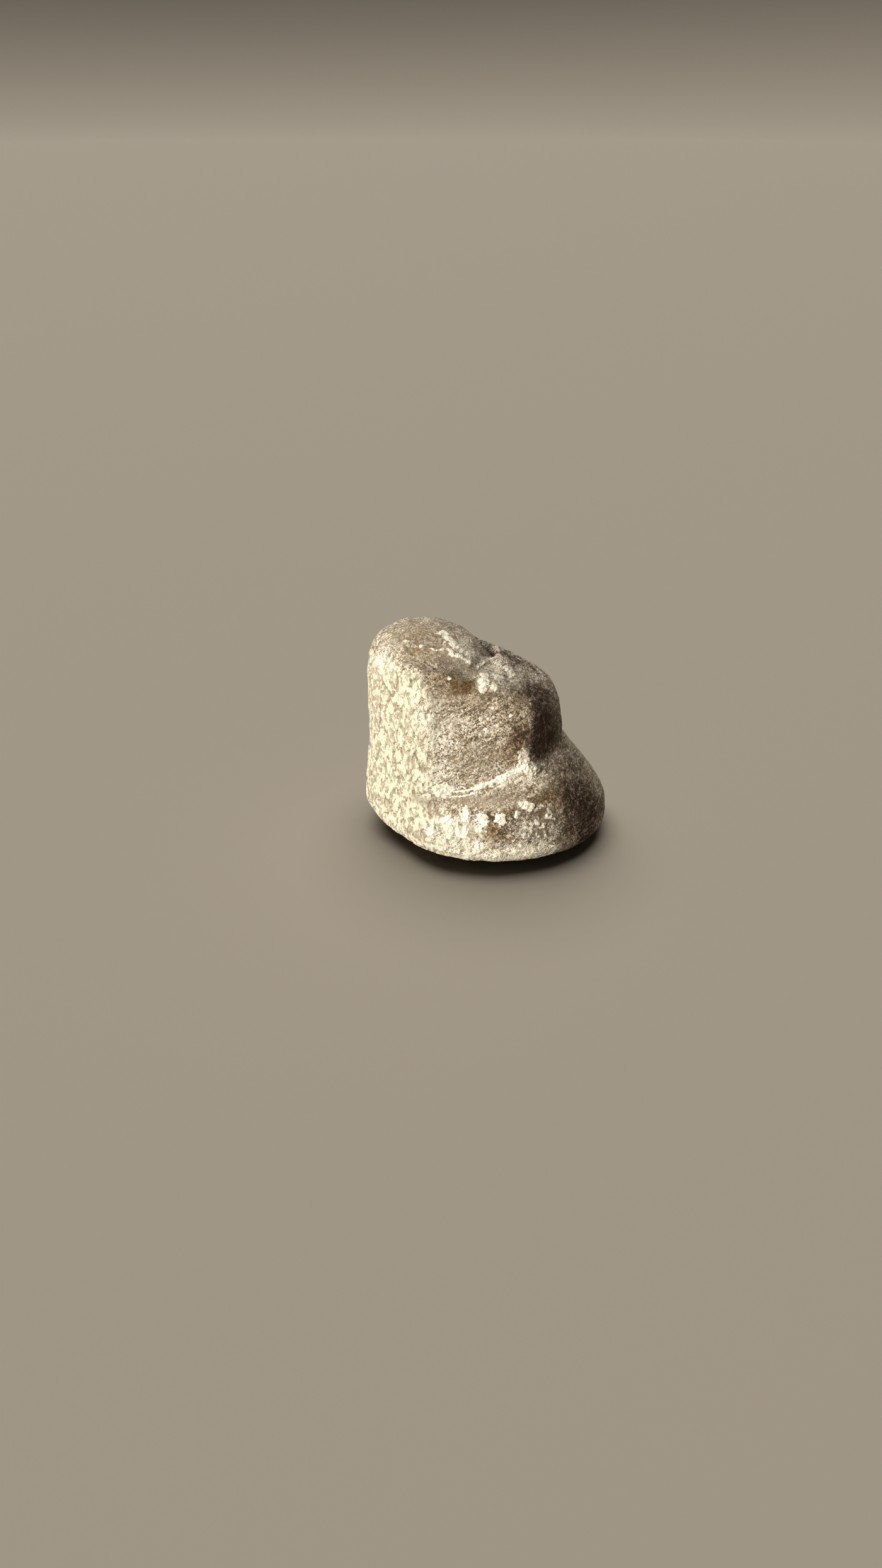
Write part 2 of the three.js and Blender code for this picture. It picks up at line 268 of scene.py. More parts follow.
# Soft patches of colour, all of them centre, size, strength
# Brown stain; the patches along the channel on the top and at the right edge of the front facet also paint
# shade there
BROWN_SPOTS = (
    ((-2.0, -3.85, 12.25), (1.0, 0.8, 0.55), 0.9),
    ((-2.4, -3.45, 12.8), (0.65, 0.5, 0.4), 0.65),
    ((-3.1, -3.5, 13.0), (0.7, 0.6, 0.42), 0.75),
    ((-3.7, -3.5, 12.9), (0.65, 0.6, 0.5), 0.6),
    ((-1.3, -3.6, 12.3), (0.7, 0.8, 0.5), 0.9),
    ((-2.0, -4.0, 11.2), (1.6, 0.8, 0.7), 0.4),
    ((-5.0, -2.3, 13.6), (0.6, 0.6, 0.35), 0.2),
    ((-4.5, -2.9, 13.45), (0.5, 0.5, 0.35), 0.4),
    ((-4.0, -3.5, 13.2), (0.5, 0.5, 0.4), 0.4),
    ((-3.6, -3.75, 12.8), (0.5, 0.5, 0.45), 0.4),
    ((-4.4, -0.4, 14.3), (2.2, 1.8, 0.8), 0.5),
    ((0.05, -4.15, 10.9), (0.6, 0.6, 0.5), 0.6),
    ((1.3, -4.8, 8.0), (0.9, 0.8, 0.9), 0.25),
    ((2.1, -4.4, 9.1), (0.9, 0.8, 1.4), 1.0),
    ((2.2, -2.8, 11.3), (0.8, 0.8, 0.5), 0.6),
    ((1.2, -4.6, 8.8), (1.0, 0.8, 0.9), 0.3),
    ((1.3, -4.0, 10.8), (0.8, 0.8, 0.7), 0.4),
    ((2.2, -3.2, 11.0), (1.1, 0.9, 0.8), 0.5),
    ((0.4, -4.9, 7.5), (1.6, 0.8, 0.6), 0.7),
    ((1.2, -6.5, 4.1), (2.0, 0.9, 0.5), 0.4),
    ((0.26, -6.8, 3.54), (0.6, 0.6, 0.6), 1.0),
    ((0.9, -7.0, 2.8), (1.3, 0.8, 0.6), 0.7),
    ((0.1, -3.8, 11.8), (0.7, 0.6, 0.5), 0.6),
    ((-4.6, -1.9, 13.8), (0.6, 0.4, 0.4), 0.6),
    ((0.1, -6.5, 4.4), (0.3, 0.5, 0.4), 0.9),
    ((1.4, -6.3, 4.6), (0.5, 0.5, 0.3), 0.9),
    ((1.4, -6.8, 3.4), (0.8, 0.6, 0.7), 0.6),
    ((3.2, -5.6, 5.1), (0.9, 0.7, 0.5), 0.8),
    ((4.4, -5.0, 5.0), (1.0, 1.0, 0.9), 0.9),
    ((2.0, 6.2, 5.0), (2.4, 1.6, 1.6), 0.8),
    ((-4.0, 4.2, 10.0), (2.0, 2.0, 2.2), 0.7),
    ((4.6, 3.0, 7.5), (1.8, 2.0, 1.2), 0.8),
)
# Grey patches of stone; the three along the channel on the top paint shade into it
GREY_AND_CHANNEL_SHADE_SPOTS = (
    ((0.3, -5.85, 5.45), (2.2, 0.6, 0.4), 0.7),
    ((-4.2, -5.3, 4.75), (1.6, 0.9, 0.4), 0.9),
    ((-3.0, -2.25, 13.55), (1.1, 0.6, 0.42), 0.85),
    ((-2.0, -2.4, 13.1), (0.9, 0.7, 0.5), 1.1),
    ((-1.1, -2.5, 12.7), (0.6, 0.6, 0.5), 0.9),
    ((0.0, 4.8, 9.0), (2.6, 1.6, 1.0), 0.9),
    ((6.5, 2.5, 5.2), (1.5, 2.4, 0.7), 0.8),
)
# Where coarse crystals lie in a brown ground
COARSE_SPOTS = (
    ((1.8, -6.6, 3.5), (1.7, 0.9, 1.1), 1.1),
    ((3.4, -6.1, 3.9), (1.3, 1.0, 1.3), 1.0),
    ((0.2, -6.5, 4.3), (0.7, 0.6, 0.4), 0.9),
    ((0.2, -4.9, 7.7), (1.9, 0.9, 0.8), 0.4),
)
# Painted shade: darker colour on the right flank, at the top of the wall, and in the creases and the pocket
# on the top
PAINTED_SHADE_SPOTS = (
    ((6.2, -4.2, 4.0), (1.1, 1.5, 1.3), 0.8),
    ((5.1, -4.8, 4.6), (0.9, 1.0, 1.0), 0.6),
    ((6.9, -3.6, 2.4), (1.0, 1.7, 1.4), 0.7),
    ((6.2, -3.0, 5.2), (0.9, 1.3, 0.8), 0.5),
    ((5.2, -5.4, 2.7), (0.8, 0.8, 1.3), 0.9),
    ((6.5, -4.6, 1.7), (1.0, 1.2, 1.1), 0.9),
    ((7.6, -2.2, 2.4), (1.6, 2.4, 1.8), 0.45),
    ((4.6, -0.6, 9.5), (1.4, 2.4, 2.2), 0.5),
    ((6.0, -1.4, 6.3), (1.2, 2.0, 0.8), 0.3),
    ((-0.1, 0.9, 13.0), (0.35, 1.0, 0.4), 1.0),
    ((0.25, 0.1, 12.9), (0.25, 0.35, 0.3), 0.8),
    ((0.83, 0.12, 12.88), (0.5, 0.4, 0.3), 0.9),
    ((1.45, 0.07, 12.59), (0.5, 0.4, 0.3), 0.9),
    ((2.0, -0.1, 12.2), (0.5, 0.4, 0.3), 0.8),
    ((1.04, -1.91, 12.18), (0.2, 0.2, 0.2), 1.0),
    ((3.5, -1.7, 10.9), (0.8, 0.9, 0.5), 0.8),
    ((2.5, -2.4, 11.2), (0.5, 0.5, 0.4), 0.4),
    ((-0.1, -1.9, 12.7), (0.35, 0.4, 0.3), 0.5),
    ((2.0, -4.5, 9.0), (0.8, 0.8, 1.2), 0.75),
    ((2.75, -1.7, 11.4), (0.6, 0.7, 0.4), 0.8),
    ((5.0, -4.3, 5.6), (0.7, 0.9, 0.9), 0.5),
    ((5.0, -3.4, 6.4), (0.7, 0.8, 0.6), 0.4),
)
# Painted shade, only where the surface turns to the right
WALL_PAINTED_SHADE_SPOTS = (
    ((3.5, -3.4, 8.6), (0.9, 1.4, 1.7), 1.0),
    ((2.8, -4.1, 9.2), (0.6, 0.8, 1.1), 0.8),
    ((3.2, -2.8, 10.3), (0.8, 1.4, 0.9), 0.9),
    ((4.3, -2.2, 8.0), (0.8, 1.7, 1.4), 0.6),
    ((3.4, -4.2, 7.8), (0.5, 0.7, 0.55), 1.2),
    ((3.0, -2.5, 11.0), (0.8, 0.9, 0.6), 0.9),
)
WALL_TURN = (0.2, 0.65)
# The texture is calmer where the surface turns to the right and to the back, and in soft patches
CALM_TURN = (0.15, 0.7)
CALM_SIDE = 0.3
CALM_SPOTS = (
    ((-4.6, -0.2, 14.0), (3.6, 3.0, 1.5), 0.9),
    ((-1.9, -2.2, 13.2), (1.8, 1.2, 0.9), 0.6),
    ((-2.2, -3.95, 12.0), (1.8, 1.0, 0.8), 0.9),
    ((-1.0, -5.9, 5.1), (4.2, 0.9, 0.45), 1.0),
    ((-0.6, -5.2, 6.3), (2.6, 0.9, 0.5), 0.6),
    ((3.8, -3.0, 8.8), (1.2, 1.8, 2.2), 0.9),
)
CALM_SHARE = 0.8
# Patches of finer sand all over, as calm as the ramp says
SAND_SIZE = 1.9
SAND_RAMP = (0.47, 0.6, 0.0, 0.5)

# Painted light: lighter colour where the stone should look more brightly lit, on the bottom rim, along the
# ridge of the top and down the left of the front facet; two more patches lighten the back
PAINTED_LIGHT_SPOTS = (
    ((-3.3, -4.75, 8.3), (0.8, 1.0, 1.8), 0.6),
    ((-4.2, -4.1, 10.7), (0.6, 1.0, 1.2), 0.7),
    ((-3.6, -3.2, 13.0), (0.9, 0.8, 0.5), 0.4),
    ((-3.0, -5.2, 6.5), (1.0, 1.0, 0.8), 0.6),
    ((1.0, -7.05, 1.35), (3.4, 1.2, 0.75), 2.0),
    ((2.8, -6.7, 1.4), (1.5, 1.0, 0.7), 2.4),
    ((2.2, -6.6, 3.4), (1.4, 0.9, 1.0), 0.4),
    ((-2.3, -6.6, 2.8), (1.2, 0.8, 0.9), 0.8),
    ((1.4, -5.35, 6.3), (0.9, 0.5, 0.35), 0.8),
    ((0.4, -5.0, 7.3), (0.7, 0.6, 0.4), 0.6),
    ((-6.9, -1.0, 13.1), (1.0, 1.2, 0.8), 0.9),
    ((2.8, -5.2, 6.6), (1.0, 0.7, 0.6), 0.6),
    ((3.6, -4.6, 7.0), (0.7, 0.7, 0.35), 0.6),
    ((-1.5, -1.3, 13.5), (0.7, 0.9, 0.7), 1.1),
    ((-0.4, -1.3, 12.9), (0.5, 0.7, 0.5), 0.6),
    ((0.2, -2.6, 12.4), (1.2, 1.3, 0.6), 0.4),
    ((1.9, -1.6, 12.0), (1.4, 1.4, 0.8), 0.5),
    ((-1.0, 6.7, 2.6), (3.0, 1.2, 0.9), 0.8),
    ((6.0, 4.6, 3.2), (1.5, 1.5, 1.0), 0.6),
)
# Where upright scratches lie
WALL_SPOTS = (
    ((3.7, -3.1, 8.6), (0.9, 1.4, 1.8), 1.0),
    ((7.0, -1.5, 4.6), (1.6, 2.4, 1.8), 0.5),
)

# What the mesh stores for the fine relief and the material
STORED = ("rest", "pale", "crust", "brown", "grey_and_channel_shade", "coarse")
STORED += ("painted_shade", "painted_light", "wall", "seam", "calm", "front")

# Texture sizes in millimetres: across, front to back and up where there are three
SCALE_SIZE = (0.3, 0.3, 0.4)
BLOT_SIZE = (0.37, 0.37, 0.65)
CRACK_SIZE = (0.55, 0.55, 0.95)
CRYSTAL_SIZE = (0.15, 0.15, 0.13)
COARSE_SIZE = (0.24, 0.24, 0.22)
SALT_SIZE = (0.07, 0.07, 0.07)
PIT_SIZE = (0.9, 0.9, 0.9)
STRIAE_SIZE = (0.16, 0.16, 2.6)
GRAIN_SIZE = 0.13
FINE_SIZE = 0.06
CLUMP_SIZE = 0.42
PATCH_SIZE = 1.2
SWELL_SIZE = 1.5
BROKEN_SIZE = 0.5
# Rows of flecks and fine streaks across the front: degrees they rise to the right, and size
ROW_TILT = 25.0
ROW_SIZE = (1.4, 1.4, 0.26)
STREAK_TILT = 32.0
STREAK_SIZE = (1.6, 1.6, 0.1)
FRONT_TURN = (0.2, 0.7)

# Noise detail and roughness, and the level that noises and tones swing about
CLUMP_DETAIL = (4.0, 0.65)
GRAIN_DETAIL = (3.0, 0.7)
FINE_DETAIL = (2.0, 0.6)
PATCH_DETAIL = (3.0, 0.6)
BLOT_DETAIL = (3.0, 0.55)
MIDDLE = 0.5
# How the place is bent before the cells are laid: size and reach in millimetres
WARP = (0.6, 0.2)
CRINKLE = (0.22, 0.08)
# Where stored shares end: reach of the clumps, range, and reach of the crumbs
RAGGED_EDGES = {
    "pale": (2.2, 0.25, 0.8),
    "crust": (1.4, 0.42, 0.56, 0.65),
    "coarse": (2.0, 0.3, 0.7),
    "grey_and_channel_shade": (1.4, 0.15, 0.9),
}

# Heights of the fine relief in millimetres
GRAIN_MM = 0.08
CLUMP_MM = 0.1
CREAM_MM = 0.045
SCALE_GRAIN_MM = 0.05
GAP_MM = 0.03
CRUMB_MM = 0.05
CRUMB_GRAIN_MM = 0.06
SWELL_MM = 0.24
PIT_MM = 0.06
STRIAE_MM = 0.16

# Ramps: from, to, and what they give at both ends where that isn't 0 and 1
CREAM_RAMP = (0.445, 0.505)
BROKEN_RAMP = (0.43, 0.55)
GAP_RAMP = (0.02, 0.085, 1.0, 0.0)
CRUMB_REACH_RAMP = (0.0, 1.0, 0.1, 0.8)
CRUMB_RAMP = (-0.1, 0.15)
PIT_RAMP = (-0.05, 0.03, 1.0, 0.0)
STREAK_RAMP = (0.58, 0.66)
GLINT_RAMP = (0.88, 0.93)
SPARK_RAMP = (0.8, 0.9)
PATCH_RAMP = (0.35, 0.65)
FLECK_RAMP = (0.42, 0.75)
DEEP_RAMP = (0.12, 0.46, 1.0, 0.0)
FINE_DEEP_RAMP = (0.32, 0.5, 0.5, 0.0)
CALM_RAMP = (0.35, 0.65)
CALM_SPARK_RAMP = (0.0, 1.0, 0.9, 0.3)
CRYSTAL_RAMP = (0.4, 0.95)
STAIN_AND_SHADE_RAMP = (0.4, 0.7, 1.0, 0.6)
DULL_RAMP = (0.1, 0.9)
SHADE_RAMP = (0.34, 0.5, 0.35, 0.0)
PAINTED_LIGHT_RAMP = (0.3, 0.6, 0.15, 1.2)
GREY_RAMP = (0.2, 0.8, 0.9, 0.5)
CRUST_RAMP = (0.38, 0.52)
CRUST_TAN_RAMP = (0.0, 0.3, 0.3, 0.0)
PAINTED_SHADE_RAMP = (0.4, 0.7, 1.0, 0.85)
PAINTED_SHADE_SPARK_RAMP = (0.0, 1.0, 1.0, 0.8)
SCRATCH_RAMP = (0.55, 0.7, 0.0, 0.3)
ROUGH_SPARK_RAMP = (0.0, 1.0, 0.8, 0.4)
ROUGH_FINE_RAMP = (0.4, 0.7, 0.0, 0.12)
TILT_PALE_RAMP = (0.0, 1.0, 1.0, 0.4)
TILT_PAINTED_SHADE_RAMP = (0.0, 1.0, 1.0, 0.4)

# How much each thing counts
BLOT_CELLS = 0.13
PIT_REACH = 0.14
ROW_LIFT = 0.7
CLUMP_LIFT = 1.0
PATCH_LIFT = 0.4
GLINT_LIFT = 0.5
SALT_WEIGHT = 0.65
CRYSTAL_WEIGHT = 0.35
GRAIN_WEIGHT = 0.6
FINE_WEIGHT = 0.4
STREAK_SHARE = 0.45
CRYSTAL_GROUND_SHARE = 0.25
GAP_SHARE = 0.6
PIT_SHARE = 0.4
CRYSTAL_TILT = 0.55
FINE_BUMP = 0.07
RELIEF_BUMP = 0.5

# Colours as the eye sees them, 0 to 255
GROUND_DARK = (158, 144, 122)
GROUND_TAN = (182, 167, 144)
GROUND_FLECK = (228, 217, 197)
GROUND_DEEP = (106, 88, 64)
# Also the colour of the painted light
GROUND_LIGHT = (248, 241, 223)
SPARK = (255, 250, 238)
CALM_DARK = (150, 135, 112)
CALM_LIGHT = (184, 170, 147)
# Also the colour of the painted shade along the channel
GREY = (150, 137, 119)
BROWN_TINT = (179, 158, 124)
# Tint of the painted shade
PAINTED_SHADE_TINT = (118, 94, 76)
SCALE_CREAM = (225, 220, 198)
SCALE_DULL = (200, 191, 169)
SCALE_SHADE = (164, 152, 128)
SCALE_GAP = (116, 100, 72)
CRUST_WHITE = (253, 247, 230)
CRUST_DULL = (238, 229, 208)
PIT = (84, 66, 46)

# Lights: direction towards each, strength, colour, how many degrees of sky it fills
KEY_TOWARDS = (-0.7, -0.6, 0.38)
KEY_STRENGTH = 4.8
KEY_COLOUR = (1.0, 0.97, 0.92)
KEY_SOFTNESS = 22.0
BACK_TOWARDS = (0.15, 0.85, 0.5)
BACK_STRENGTH = 1.6
BACK_SOFTNESS = 20.0
TOP_TOWARDS = (0.05, -0.1, 1.0)
TOP_STRENGTH = 0.75
TOP_SOFTNESS = 50.0
FLOOR_LIGHT_TOWARDS = (-0.12, 0.3, 0.94)
FLOOR_LIGHT_STRENGTH = 4.8
FLOOR_LIGHT_SOFTNESS = 60.0
SOFT_COLOUR = (1.0, 0.97, 0.91)
FILL_COLOUR = (1.0, 0.9, 0.78)
FILL_STRENGTH = 0.03
VIEW_GAMMA = 0.85

# Floor, its sizes in metres
FLOOR_COLOUR = (0.26, 0.235, 0.2)
FLOOR_ROUGHNESS = 0.9
FLOOR_RADIUS = 0.9
FLOOR_BEND = 0.25
FLOOR_BEND_STEPS = 12
FLOOR_WALL = 0.25
FLOOR_SIDES = 96


def smooth_step(low, high, value):
    share = np.clip((value - low) / (high - low), 0, 1)
    return share * share * (3 - 2 * share)


def smooth_min(a, b, blend):
    share = np.clip(0.5 + 0.5 * (b - a) / blend, 0, 1)
    return b * (1 - share) + a * share - blend * share * (1 - share)


def smooth_max(a, b, blend):
    return -smooth_min(-a, -b, blend)


def smooth_curve(at, values, place):
    """Smooth curve through the given points, held level past its ends."""
    at = np.array(at, float)
    values = np.array(values, float)
    steps = np.diff(values) / np.diff(at)
    slopes = np.concatenate([steps[:1], (steps[1:] + steps[:-1]) / 2, steps[-1:]])
    x = np.clip(place, at[0], at[-1])
    i = np.clip(np.searchsorted(at, x, side="right") - 1, 0, len(at) - 2)
    width = at[i + 1] - at[i]
    t = (x - at[i]) / width
    rise = t * t * (3 - 2 * t)
    leave = t * (1 - t) ** 2 * width * slopes[i]
    arrive = t * t * (1 - t) * width * slopes[i + 1]
    return values[i] + (values[i + 1] - values[i]) * rise + leave - arrive


def face_height(p, facing, distance):
    facing = np.array(facing, float)
    return (p @ facing - distance) / np.linalg.norm(facing)


def soft_spot(p, centre, size):
    return np.exp(-(((p - np.array(centre)) / np.array(size)) ** 2).sum(-1))


def spots_share(p, spots):
    """Soft patches added up, each (centre, size, strength)."""
    total = np.zeros(len(p))
    for centre, size, strength in spots:
        total += strength * soft_spot(p, centre, size)
    return total


def path_distance(p, path):
    nearest = np.full(len(p), np.inf)
    for start, end in zip(path[:-1], path[1:]):
        start = np.array(start)
        along = np.array(end) - start
        share = np.clip((p - start) @ along / (along @ along), 0, 1)
        nearest = np.minimum(nearest, np.linalg.norm(p - start - share[:, None] * along, axis=1))
    return nearest


def path_relief(p, path, width):
    return np.exp(-((path_distance(p, path) / width) ** 2))


def turn_of(p):
    """Turns run clockwise from the left side: 0 left, 0.25 back, 0.5 right, 0.75 front."""
    x = p[:, 0] / SKIRT_RADIUS[0]
    y = (p[:, 1] - SKIRT_CENTRE_Y) / SKIRT_RADIUS[1]
    return np.hypot(x, y), np.mod(1.5 - np.arctan2(y, x) / (2 * math.pi), 1)


def narrowing(z, turn):
    above = (z - SKIRT_WIDEST_Z - smooth_curve(SHIFT_TURN, SHIFT_MM, turn)) / SKIRT_BEND
    return SKIRT_NARROWING * SKIRT_BEND * np.log1p(np.exp(above))


def body_whorl(p):
    radius, turn = turn_of(p)
    z = p[:, 2]
    older = radius - 1 + smooth_curve(INSET_TURN, INSET_SHARE, turn) + narrowing(z, turn)
    mouth = MOUTH_STEP * smooth_step(MOUTH_START, MOUTH_END, turn + 1)
    newer = radius - 1 + mouth + narrowing(z, turn + 1)
    side = smooth_min(older * SKIRT_SCALE, newer * SKIRT_SCALE, WHORL_JOIN)
    return smooth_max(side, z - SKIRT_TOP_Z + SKIRT_TOP_TILT * p[:, 0], SKIRT_TOP_ROUND)


def spire_whorl(p):
    above = np.maximum(p[:, 2] - DRUM_TAPER_Z, 0)
    x = (p[:, 0] - DRUM_CENTRE[0]) / DRUM_RADIUS[0]
    y = (p[:, 1] - DRUM_CENTRE[1]) / DRUM_RADIUS[1]
    f = (np.hypot(x, y) - 1 + DRUM_TAPER * above**2) * DRUM_SCALE
    for facing, distance, rounding in DRUM_CUTS:
        f = smooth_max(f, face_height(p, facing, distance), rounding)
    return f


def apex_dome(p):
    offset = p - np.array(DOME_CENTRE)
    offset[:, 2] /= np.where(offset[:, 2] < 0, DOME_STRETCH_DOWN, 1)
    total = (np.abs(offset / np.array(DOME_RADIUS)) ** DOME_POWER).sum(1)
    return (total ** (1 / DOME_POWER) - 1) * DOME_SCALE


def channel(p):
    return CHANNEL_DEPTH * path_relief(p, CHANNEL_PATH, CHANNEL_WIDTH)


def spire(p):
    return smooth_min(spire_whorl(p), apex_dome(p), DOME_JOIN) + channel(p)


def underside(p):
    x = p[:, 0] / BASE_RADIUS[0]
    y = (p[:, 1] - BASE_CENTRE_Y) / BASE_RADIUS[1]
    radius = np.maximum(np.hypot(x, y), TINY)
    share = np.clip((radius - BASE_FLAT_SHARE) / (1 - BASE_FLAT_SHARE), 0, 2)
    return (BASE_RISE - BASE_RISE_LEFT * x / radius) * share**BASE_POWER - p[:, 2]


def outside(p):
    """Below zero inside the shell, above zero outside it."""
    f = smooth_min(spire(p), body_whorl(p), WHORL_JOIN)
    for facing, distance, rounding in WEAR_FACES:
        f = smooth_max(f, face_height(p, facing, distance), rounding)
    for centre, size, depth in SOFT_SPOTS:
        f += depth * soft_spot(p, centre, size)
    f = smooth_max(f, underside(p), BASE_ROUND)
    f += AXIS_PIT[2] * soft_spot(p, AXIS_PIT[0], AXIS_PIT[1])
    return smooth_max(f, -p[:, 2], FLAT_ROUND)


def normals_of(points):
    slopes = []
    for axis in range(3):
        shift = np.zeros(3)
        shift[axis] = NORMAL_STEP
        slopes.append(outside(points + shift) - outside(points - shift))
    slopes = np.stack(slopes, 1)
    return slopes / np.linalg.norm(slopes, axis=1)[:, None]


def cube_ball(steps):
    """Unit directions and quads of a cube blown up to a ball, with no doubled points."""
    line = np.tan(np.linspace(-math.pi / 4, math.pi / 4, steps + 1))
    index = {}
    points = []
    quads = []
    for axis in range(3):
        for side in (-1, 1):
            number = np.empty((steps + 1, steps + 1), int)
            for i in range(steps + 1):
                for j in range(steps + 1):
                    grid = [i, j]
                    grid.insert(axis, steps if side > 0 else 0)
                    key = tuple(grid)
                    if key not in index:
                        index[key] = len(points)
                        points.append([line[k] for k in key])
                    number[i, j] = index[key]
            a, b = number[:-1, :-1], number[1:, :-1]
            c, d = number[1:, 1:], number[:-1, 1:]
            corners = [a, b, c, d] if (side > 0) == (axis != 1) else [a, d, c, b]
            quads.append(np.stack(corners, -1).reshape(-1, 4))
    points = np.array(points)
    return points / np.linalg.norm(points, axis=1)[:, None], np.concatenate(quads)


def surface_points(directions):
    """Where rays from a point inside the shell leave it."""
    near = np.full(len(directions), RAY_NEAR)
    far = np.full(len(directions), RAY_FAR)
    inside = np.ones(len(directions), bool)
    lengths = np.linspace(RAY_NEAR, RAY_FAR, RAY_STEPS)
    for start, end in zip(lengths[:-1], lengths[1:]):
        here = np.flatnonzero(inside)
        crossed = here[outside(RAY_START + directions[here] * end) > 0]
        near[crossed] = start
        far[crossed] = end
        inside[crossed] = False
    for _ in range(RAY_HALVINGS):
        middle = (near + far) / 2
        out = outside(RAY_START + directions * middle[:, None]) > 0
        far = np.where(out, middle, far)
        near = np.where(out, near, middle)
    return RAY_START + directions * ((near + far) / 2)[:, None]


def place_points(mesh, points):
    mesh.vertices.foreach_set("co", (points * MM).astype(np.float32).ravel())


def shell_mesh():
    directions, quads = cube_ball(CUBE_STEPS)
    directions = directions + np.array([0, -PULL_TO_FRONT, 0])
    directions /= np.linalg.norm(directions, axis=1)[:, None]
    points = surface_points(directions)
    mesh = bpy.data.meshes.new("fossil_shell")
    mesh.vertices.add(len(points))
    place_points(mesh, points)
    mesh.loops.add(quads.size)
    mesh.loops.foreach_set("vertex_index", quads.astype(np.int32).ravel())
    mesh.polygons.add(len(quads))
    mesh.polygons.foreach_set("loop_start", np.arange(0, quads.size, 4, dtype=np.int32))
    mesh.update(calc_edges=True)
    mesh.shade_smooth()
    return mesh, points


def suture_share(p):
    """How near the join of spire and body whorl is, on the sides and the back."""
    join = np.exp(-(((spire(p) - body_whorl(p)) / SUTURE_WIDTH) ** 2))
    return join * smooth_step(*SUTURE_Y, p[:, 1])


def seam_share(p):
    """How near the seam's white lines are."""
    nearest = np.min([path_distance(p, path) for path, _ in SEAM_LINES], axis=0)
    return np.exp(-((nearest / SEAM_REACH) ** 2))


def pale_share(p, normals):
    """The worn left side and the low left of the body whorl, where the shell shows as pale scales."""
    edge = PALE_EDGE_LOW + (PALE_EDGE_HIGH - PALE_EDGE_LOW) * smooth_step(*PALE_EDGE_Z, p[:, 2])
    front = 1 - smooth_step(edge - PALE_BLUR, edge + PALE_BLUR, p[:, 0])
    back = smooth_step(*PALE_BACK_Y, p[:, 1])
    top = smooth_step(*PALE_TOP_SLOPE, normals[:, 2])
    bare = np.minimum(spots_share(p, BARE_SPOTS), 1)
    return np.maximum(front, 0) * (1 - PALE_BACK_LOSS * back) * (1 - PALE_TOP_LOSS * top) * (1 - bare)


# Painted shade: the wall patches count only where the surface turns to the right
def painted_shade_share(p, normals):
    turned_right = smooth_step(*WALL_TURN, normals[:, 0])
    return spots_share(p, PAINTED_SHADE_SPOTS) + spots_share(p, WALL_PAINTED_SHADE_SPOTS) * turned_right


def calm_share(p, normals):
    away = np.hypot(np.maximum(normals[:, 0], 0), np.maximum(normals[:, 1], 0))
    calm = spots_share(p, CALM_SPOTS) + CALM_SIDE * smooth_step(*CALM_TURN, away)
    return np.minimum(calm, 1.0)


def crust_relief(p):
    """Height and share of the white crust: seam lines, nodules, ledge and the crumbling ridge."""
    share = np.zeros(len(p))
    height = np.zeros(len(p))
    for path, width, rise, white in CRUST_LINES:
        line = path_relief(p, path, width)
        share = np.maximum(share, np.minimum(white * line, CRUST_LINE_LIMIT))
        height = np.maximum(height, rise * line)
    for centre, size, rise, white in CRUST_LUMPS:
        lump = np.exp(-((((p - np.array(centre)) / np.array(size)) ** 2).sum(1) ** LUMP_POWER))
        share = np.maximum(share, white * lump)
        height = np.maximum(height, rise * lump)
    return share, height


def store(mesh, name, values):
    kind, field = ("FLOAT_VECTOR", "vector") if values.ndim == 2 else ("FLOAT", "value")
    layer = mesh.attributes.new(name, kind, "POINT")
    layer.data.foreach_set(field, values.astype(np.float32).ravel())


def dress(mesh, points, normals):
    """Stores where each kind of stone lies and where shade and light are painted, and moves the points by
    crust, cracks and groove.
    """
    crust, height = crust_relief(points)
    for path, width, depth in CRACKS:
        height = height - depth * path_relief(points, path, width)
    suture = suture_share(points)
    height = height - SUTURE_DEPTH * suture
    store(mesh, "rest", points)
    store(mesh, "pale", pale_share(points, normals))
    store(mesh, "crust", np.maximum(crust, SUTURE_WHITE * suture))
    store(mesh, "brown", spots_share(points, BROWN_SPOTS))
    # Grey stone, and painted shade along the channel
    store(mesh, "grey_and_channel_shade", spots_share(points, GREY_AND_CHANNEL_SHADE_SPOTS))
    store(mesh, "coarse", spots_share(points, COARSE_SPOTS))
    # Where shade is painted
    store(mesh, "painted_shade", painted_shade_share(points, normals))
    store(mesh, "calm", calm_share(points, normals))
    store(mesh, "front", smooth_step(*FRONT_TURN, -normals[:, 1]))
    # Where light is painted
    store(mesh, "painted_light", spots_share(points, PAINTED_LIGHT_SPOTS))
    store(mesh, "wall", spots_share(points, WALL_SPOTS))
    store(mesh, "seam", seam_share(points))
    place_points(mesh, points + normals * height[:, None])


def add(tree, kind, settings=(), **inputs):
    """A new node with its settings and inputs; an input is a number, a colour or another node's socket."""
    node = tree.nodes.new(kind)
    for name, value in dict(settings).items():
        setattr(node, name, value)
    for name, value in inputs.items():
        socket = node.inputs[int(name[1:])] if name[0] == "_" else node.inputs[name.replace("_", " ")]
        if isinstance(value, bpy.types.NodeSocket):
            tree.links.new(value, socket)
        else:
            socket.default_value = value
    return node


def calc(tree, operation, a, b, clamp=False):
    return add(tree, "ShaderNodeMath", {"operation": operation, "use_clamp": clamp}, _0=a, _1=b).outputs[0]


def plus(tree, a, b, clamp=False):
    return calc(tree, "ADD", a, b, clamp)


def minus(tree, a, b):
    return calc(tree, "SUBTRACT", a, b)


def times(tree, a, b, clamp=False):
    return calc(tree, "MULTIPLY", a, b, clamp)


def higher(tree, a, b):
    return calc(tree, "MAXIMUM", a, b)


def swing(tree, value, reach):
    """A noise or tone about zero, times its reach."""
    return times(tree, minus(tree, value, MIDDLE), reach)


